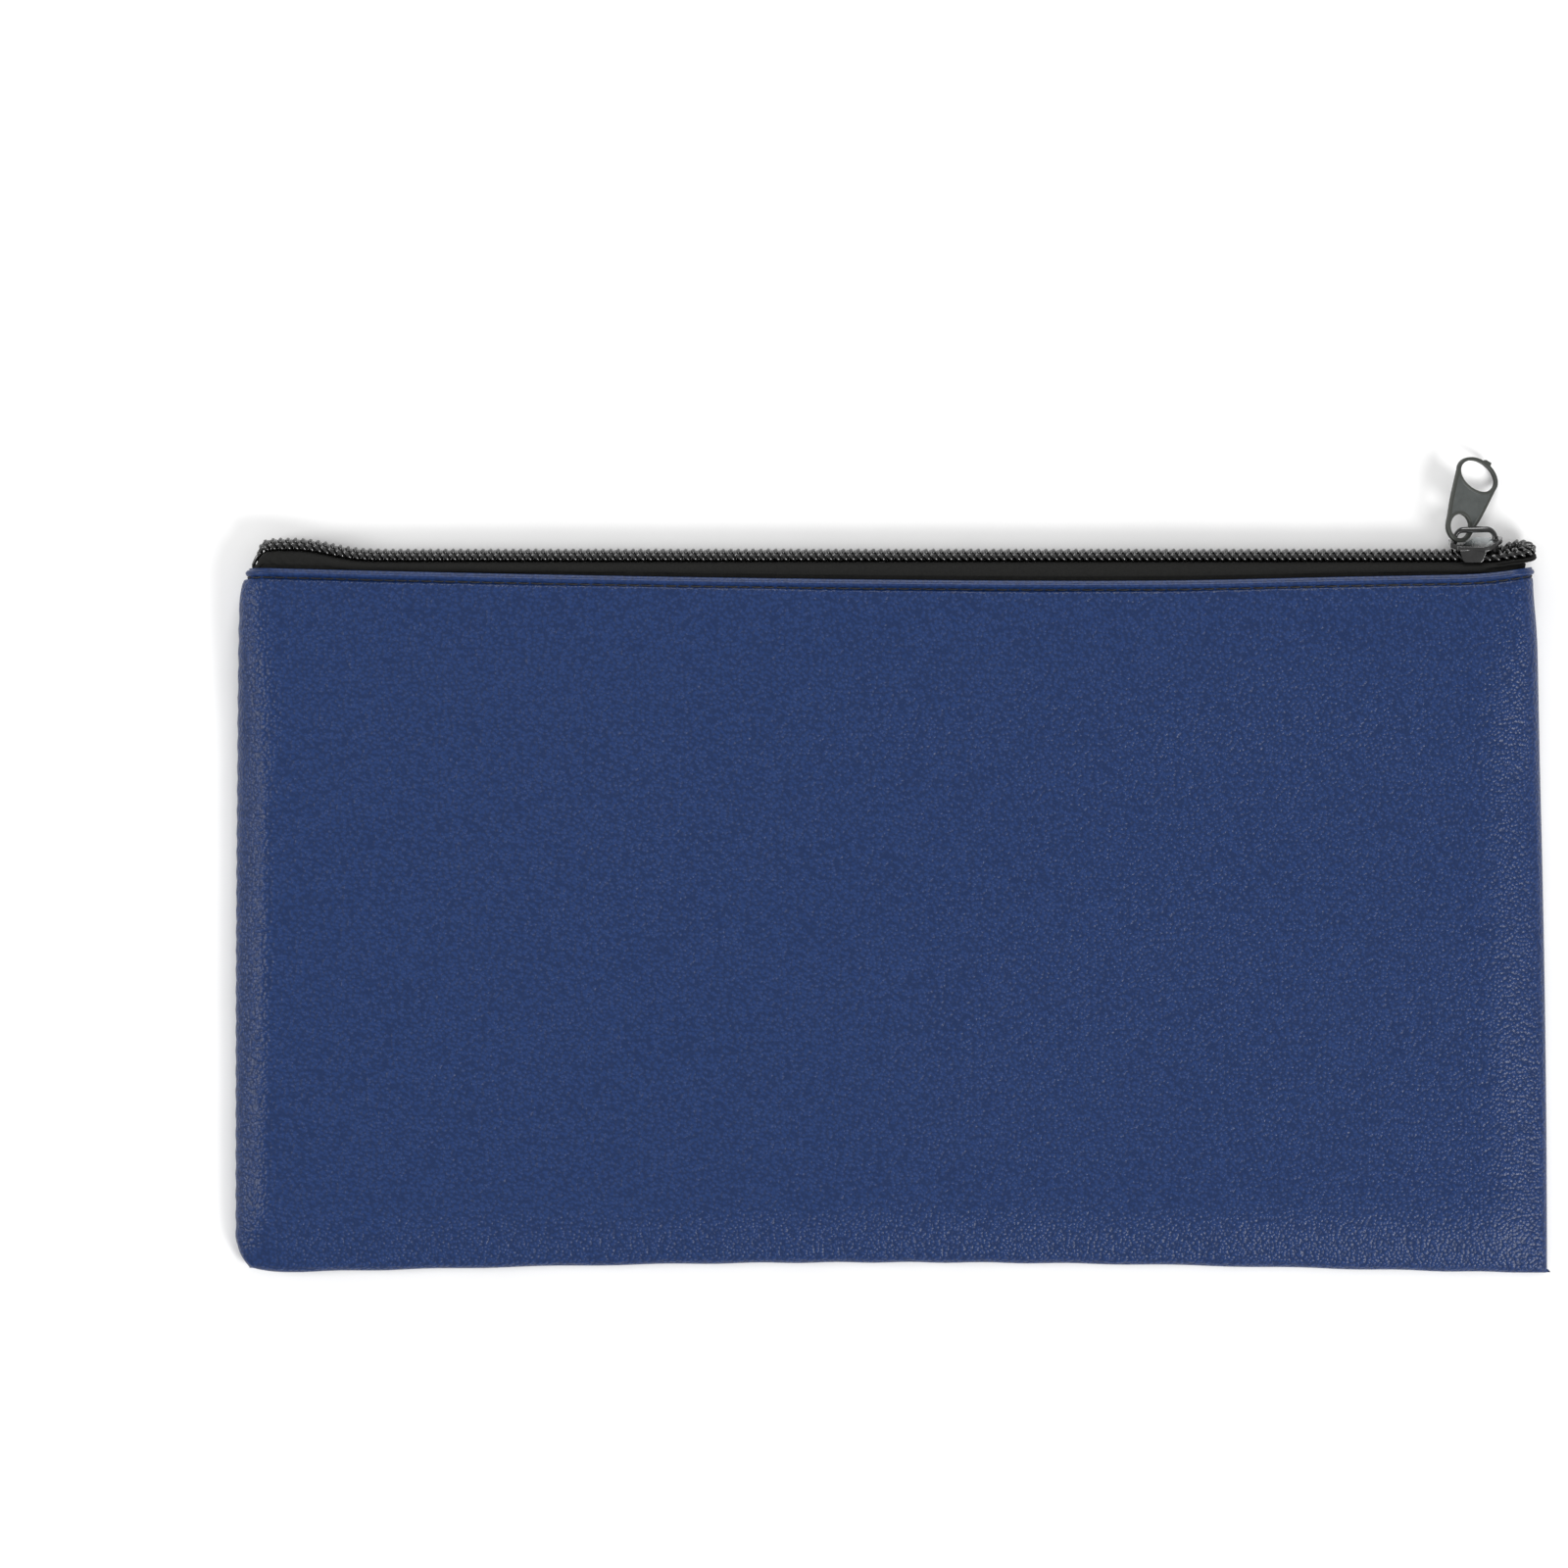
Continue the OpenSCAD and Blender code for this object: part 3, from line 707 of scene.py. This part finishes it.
def enamel_material(name, dark, light, patch, rough_low, rough_high, pits, coat):
    """Enamelled or plated metal, with another colour where the mesh's patch attribute is 1. This colour is
    painted
    light: a painted highlight on the slider's crown, and painted shade on the tab's rims and sides.
    """
    mat, nodes, links, bsdf = new_material(name)
    co = object_coords(nodes)
    cast = noise(nodes, links, co, scale=700, detail=5, rough=0.6)
    fine = noise(nodes, links, co, scale=4200, detail=3, rough=0.6)
    body = ramp(nodes, links, cast, [(0.25, dark), (0.75, light)])
    blend = nodes.new("ShaderNodeMixRGB")
    links.new(marked(nodes, "patch"), blend.inputs["Fac"])
    links.new(body, blend.inputs[1])
    blend.inputs[2].default_value = (*patch, 1)
    bsdf.inputs["Metallic"].default_value = 0.35
    links.new(blend.outputs[0], bsdf.inputs["Base Color"])
    rough = ramp(nodes, links, cast, [(0.2, grey(rough_low)), (0.8, grey(rough_high))])
    links.new(rough, bsdf.inputs["Roughness"])
    bsdf.inputs["Coat Weight"].default_value = coat
    bsdf.inputs["Coat Roughness"].default_value = 0.12
    first = bump(nodes, links, cast, distance=0.00012 * pits, strength=0.5)
    links.new(bump(nodes, links, fine, distance=0.00003, strength=0.35, normal=first), bsdf.inputs["Normal"])
    return mat


leather_look = leather_material("leatherette_look", (0.0107, 0.0300, 0.1083), (0.0116, 0.0320, 0.1135))
backing_look = woven_material("leatherette_backing_look", (0.02, 0.024, 0.045), (0.035, 0.04, 0.07), uv=False)
# The thread is dark, and its colour is darker still as painted shade, which stands in for the shadow in the
# groove along the hem's stitches.
thread_look = thread_material("thread_look", (0.0015, 0.0015, 0.003), (0.007, 0.007, 0.010))
tape_look = woven_material("zip_tape_look", (0.004, 0.004, 0.0037), (0.0145, 0.0145, 0.0135))
nylon_look = nylon_material()
cord_look = thread_material("coil_cord_look", grey(0.015), grey(0.035))
# The slider's patch colour is a painted reflection: its crown is painted light silver.
slider_look = enamel_material(
    "slider_enamel_look", dark=grey(0.012), light=grey(0.024), patch=(0.56, 0.61, 0.62),
    rough_low=0.14, rough_high=0.26, pits=0.5, coat=0.8,
)
# The tab's patch colour is painted shade, darker on its raised rims and its sides.
tab_look = enamel_material(
    "tab_metal_look", dark=(0.068, 0.075, 0.073), light=(0.092, 0.101, 0.098), patch=(0.050, 0.054, 0.048),
    rough_low=0.36, rough_high=0.52, pits=0.7, coat=0.0,
)

# ---- The bag's soft pieces ----

leather, skin_points, skin_normals, skin_h = leather_shell(leather_look)
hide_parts("back_panel", "front_panel", "mouth_hem")

stitch_row = int(np.argmin(np.abs(skin_h[:, 0] - STITCH_H)))
ring, ring_normals = skin_points[stitch_row], skin_normals[stitch_row]
closed_line = np.vstack([ring, ring[:1]])
closed_normals = np.vstack([ring_normals, ring_normals[:1]])
points, faces = stitch_run(closed_line, closed_normals, STITCH_PITCH, 0.5)
hem_stitches = mesh_object("hem_stitches", points, faces, thread_look, "bag")
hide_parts("hem_stitching")


def slab(name, edge_a, edge_b, z, thickness, material):
    """A strip between two lines of (x, y) points, gently wavy in height."""
    a, b = np.asarray(edge_a, float), np.asarray(edge_b, float)
    steps = np.linspace(0, 1, 5)
    flat = (a[:, None] * (1 - steps)[None, :, None] + b[:, None] * steps[None, :, None]).reshape(-1, 2)
    n, m = len(a), len(steps)
    height = z + 0.06 * np.sin(flat[:, 0] / 4.1 + flat[:, 1] / 5.3)
    low = np.column_stack([flat, height])
    high = np.column_stack([flat, height + thickness])
    faces, size = [], n * m
    for j in range(n - 1):
        for i in range(m - 1):
            p = j * m + i
            faces.append([p, p + 1, p + m + 1, p + m])
            faces.append([size + p, size + p + m, size + p + m + 1, size + p + 1])
    rim = list(range(m)) + [j * m + m - 1 for j in range(1, n)]
    rim += [(n - 1) * m + i for i in range(m - 2, -1, -1)] + [j * m for j in range(n - 2, 0, -1)]
    for q, p in enumerate(rim):
        r = rim[(q + 1) % len(rim)]
        faces.append([r, p, size + p, size + r])
    return mesh_object(name, np.vstack([low, high]), faces, material, "bag")


ALLOWANCE_IN = 2.0
ALLOWANCE_W = 7.1
ALLOWANCE_T = 0.74
SEAM_IN = 1.45

left_ys = np.linspace(foot_y + 12.5, hem_top - 11.5, 90)
foot_xs = np.linspace(-foot_w / 2 + 3.0, foot_w / 2 - 4.4, 150)
foot_ys = foot_y + foot_line(foot_xs)
for level, side in enumerate(("back", "front")):
    z = 0.98 + level * 0.9
    edge = left_x(left_ys) + ALLOWANCE_IN
    slab(
        f"left_allowance_{side}_strip", np.column_stack([edge, left_ys]),
        np.column_stack([edge + ALLOWANCE_W, left_ys]), z, ALLOWANCE_T, backing_look)
    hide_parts(f"left_allowance_{side}")
    slab(
        f"foot_allowance_{side}_strip", np.column_stack([foot_xs, foot_ys + ALLOWANCE_IN]),
        np.column_stack([foot_xs, foot_ys + (ALLOWANCE_IN + ALLOWANCE_W)]), z, ALLOWANCE_T,
        backing_look)
    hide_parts(f"foot_allowance_{side}")


def seam_stitches(name, x, y, node):
    """A row of stitches through the allowances, inside the bag."""
    line = np.column_stack([x, y, np.full(len(x), 1.78)])
    normals = np.tile([0, 0, 1.0], (len(line), 1))
    points, faces = stitch_run(line, normals, STITCH_PITCH, 0.34, lift=0.05, dip=0.2, skip=0.9)
    obj = mesh_object(name, points, faces, thread_look, "bag")
    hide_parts(node)
    return obj


left_seam = seam_stitches("left_seam_stitches", left_x(left_ys) + SEAM_IN, left_ys, "left_seam_thread")
foot_seam = seam_stitches("foot_seam_stitches", foot_xs, foot_ys + SEAM_IN, "foot_seam_thread")

# ---- The zip ----

tape_points, tape_faces, tape_uv = sweep(thick_line(rounded(TAPE_LINE, 2), 0.45), route_stations(), creases)
tape = mesh_object("zip_tape_band", tape_points, tape_faces, tape_look, "bag", tape_uv)
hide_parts("zip_tape")

points, faces = coil_strand()
coil = mesh_object("zip_coil_strand", points, faces, nylon_look, "bag")
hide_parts("zip_coil")

cord_q = np.arange(1.2, ROUTE_LEN - 1.2, 0.7)
points, faces = tube(mouth_point(cord_q, np.full(len(cord_q), 1.45), np.full(len(cord_q), COIL_H)), 0.42, 10)
cord = mesh_object("coil_core_cord", points, faces, cord_look, "bag")
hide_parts("coil_cord")

sew_q = np.arange(1.2, ROUTE_LEN - 1.2, 0.2)
sew_h = -1.62 - 0.05 * np.sin(sew_q * 2 * math.pi / COIL_PITCH)
points, faces = tube(mouth_point(sew_q, np.full(len(sew_q), 1.85), sew_h), 0.13, 6)
coil_sewing = mesh_object("coil_sewing_thread", points, faces, thread_look, "bag")
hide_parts("coil_stitching")

# ---- Slider and pull tab ----


def cast_piece(name, node, body, material, shape, grow, keep):
    """The CAD piece with its edges softened, as a die casting's are. shape moves its points, in millimetres,
    and marks the patch that has another colour, where light or shade is painted."""
    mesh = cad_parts[node].data.copy()
    mesh.name = name
    obj = bpy.data.objects.new(name, mesh)
    bpy.context.scene.collection.objects.link(obj)
    mesh.materials.clear()
    low, high = box_mm(node)
    middle = np.array((low + high) / 2)
    co = np.zeros(len(mesh.vertices) * 3)
    mesh.vertices.foreach_get("co", co)
    co = (co.reshape(-1, 3) / M - middle).ravel()
    mesh.vertices.foreach_set("co", co)
    weld = obj.modifiers.new("weld", "WELD")
    weld.merge_threshold = 0.002
    remesh = obj.modifiers.new("remesh", "REMESH")
    remesh.mode = "VOXEL"
    remesh.voxel_size = 0.085
    soften = obj.modifiers.new("soften", "SMOOTH")
    soften.factor = 0.5
    soften.iterations = 2
    refill = obj.modifiers.new("refill", "DISPLACE")
    refill.strength = grow
    refill.mid_level = 0
    reduce = obj.modifiers.new("reduce", "DECIMATE")
    reduce.ratio = keep
    bpy.context.view_layer.update()
    solid = bpy.data.meshes.new_from_object(obj.evaluated_get(bpy.context.evaluated_depsgraph_get()))
    obj.modifiers.clear()
    co = np.zeros(len(solid.vertices) * 3)
    solid.vertices.foreach_get("co", co)
    co = co.reshape(-1, 3) + middle
    normals = np.zeros(len(solid.vertices) * 3, np.float32)
    solid.vertex_normals.foreach_get("vector", normals)
    co, patch = shape(co, normals.reshape(-1, 3))
    solid.attributes.new("patch", "FLOAT", "POINT").data.foreach_set("value", patch.astype(np.float32))
    solid.vertices.foreach_set("co", (co * M).ravel())
    solid.polygons.foreach_set("use_smooth", [True] * len(solid.polygons))
    obj.data = solid
    solid.materials.append(material)
    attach(obj, body)
    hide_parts(node)


def crown(co, _normals):
    """The slider's outer plate rises to a crown that is marked for a painted highlight, its ends turn up, and
    its bridge is arched.
    """
    x = co[:, 0] - slider_x
    dy, dz = co[:, 1] - chain_y, co[:, 2] - chain_z
    y = dy * math.cos(ROLL) + dz * math.sin(ROLL)
    z = -dy * math.sin(ROLL) + dz * math.cos(ROLL)
    on_top = smooth01((y - 1.9) / 0.5) * (1 - smooth01((y - 2.7) / 1.2))
    wide = np.clip(1 - ((x - 1.2) / 2.3) ** 4, 0, 1)
    up = on_top * 1.95 * wide * np.clip(1 - (np.abs(z) / 2.4) ** 3.5, 0, 1)
    drop = np.where(x < 0, 1.2, 0.8)
    arch = -drop * smooth01((y - 3.4) / 1.8) * np.clip(np.abs(x + 0.25) / 4.85, 0, 1) ** 2.5
    ends = 1.5 * smooth01((x - 1.9) / 4.0) + 0.6 * smooth01((-3.4 - x) / 2.2)
    nose = smooth01((y - 1.2) / 0.5) * (1 - smooth01((y - 2.7) / 2.3)) * ends
    rise_y = up + nose + arch
    out = co.copy()
    out[:, 1] += rise_y * math.cos(ROLL)
    out[:, 2] += rise_y * math.sin(ROLL)
    # The raised crown is marked for its painted reflection, a light silver colour in the material.
    return out, smooth01((up - 0.25) / 0.35)


TAB_EYE = np.array([-3.6, 6.5, 0.3])
TAB_SLOPE, TAB_LEAN, TAB_TWIST = -14, -20, 34


def rotation(axis, degrees):
    return np.array(Matrix.Rotation(math.radians(degrees), 3, axis))


def tab_rims(co, normals):
    """The tab's eye is drawn in a little, and its raised rims and its sides are marked for painted shade."""
    origin = np.array([slider_x, chain_y, chain_z]) + rotation("X", math.degrees(ROLL)) @ TAB_EYE
    axes = rotation("X", TAB_SLOPE) @ rotation("Z", TAB_LEAN) @ rotation("Y", TAB_TWIST)
    p, n = (co - origin) @ axes, normals @ axes
    far = np.hypot(p[:, 0], p[:, 1])
    scale = 1 - 0.4 * (1 - smooth01((far - 3.2) / 4)) / np.maximum(far, 1)
    raised = smooth01((np.abs(p[:, 2]) - 0.34) / 0.07)
    side_shade_mask = 1 - smooth01((np.abs(n[:, 2]) - 0.35) / 0.4)
    p[:, :2] *= scale[:, None]
    # The rims and the sides are marked for painted shade, a darker colour in the material.
    return p @ axes.T + origin, np.maximum(raised, side_shade_mask)


cast_piece(
    "slider_casting", "slider_body", "slider", slider_look, crown, grow=0.09, keep=0.3,
)
cast_piece("pull_tab_casting", "pull_tab", "pull", tab_look, tab_rims, grow=0.03, keep=0.5)

# ---- Floor, light and camera ----

SENSOR_MM = 36
view_mm = 335.0
centre = Vector((-22.8, 30.3, 0)) * M
camera_up = 1.5

floor_mesh = bpy.data.meshes.new("floor")
reach = 4.0
corners = [(-reach, -reach, 0), (reach, -reach, 0), (reach, reach, 0), (-reach, reach, 0)]
floor_mesh.from_pydata(corners, [], [(0, 1, 2, 3)])
floor = bpy.data.objects.new("floor", floor_mesh)
floor.location = (0, 0, -0.0002)
bpy.context.scene.collection.objects.link(floor)
floor_mat, f_nodes, f_links, f_bsdf = new_material("floor_look")
f_fac = noise(f_nodes, f_links, object_coords(f_nodes), scale=40, detail=3)
f_colour = ramp(f_nodes, f_links, f_fac, [(0.3, grey(0.90)), (0.7, grey(0.93))])
f_links.new(f_colour, f_bsdf.inputs["Base Color"])
f_bsdf.inputs["Roughness"].default_value = 0.9
f_bsdf.inputs["Specular IOR Level"].default_value = 0.1
floor_mesh.materials.append(floor_mat)


def area_light(name, place, size, watts):
    """A square light that faces the middle of the floor."""
    light = bpy.data.lights.new(name, "AREA")
    light.shape = "SQUARE"
    light.size = size
    light.energy = watts
    obj = bpy.data.objects.new(name, light)
    obj.location = place
    obj.rotation_euler = (-Vector(place)).to_track_quat("-Z", "Y").to_euler()
    bpy.context.scene.collection.objects.link(obj)


area_light("key", (0.88, -0.78, 0.9), size=0.55, watts=16)
area_light("fill", (-1.05, 0.0, 0.8), size=0.5, watts=7)
area_light("rim", (0.1, 1.15, 0.75), size=0.5, watts=7)

world = bpy.data.worlds.new("studio")
bpy.context.scene.world = world
world.use_nodes = True
background = world.node_tree.nodes["Background"]
background.inputs["Color"].default_value = (1, 1, 1, 1)
background.inputs["Strength"].default_value = 0.5

lens_mm = SENSOR_MM * camera_up / M / view_mm
camera_data = bpy.data.cameras.new("camera")
camera_data.sensor_width = SENSOR_MM
camera_data.lens = lens_mm
camera_data.clip_start = 0.01
camera = bpy.data.objects.new("camera", camera_data)
camera.location = (centre.x, centre.y, camera_up)
bpy.context.scene.collection.objects.link(camera)
bpy.context.scene.camera = camera
bpy.context.scene.view_settings.view_transform = "Standard"
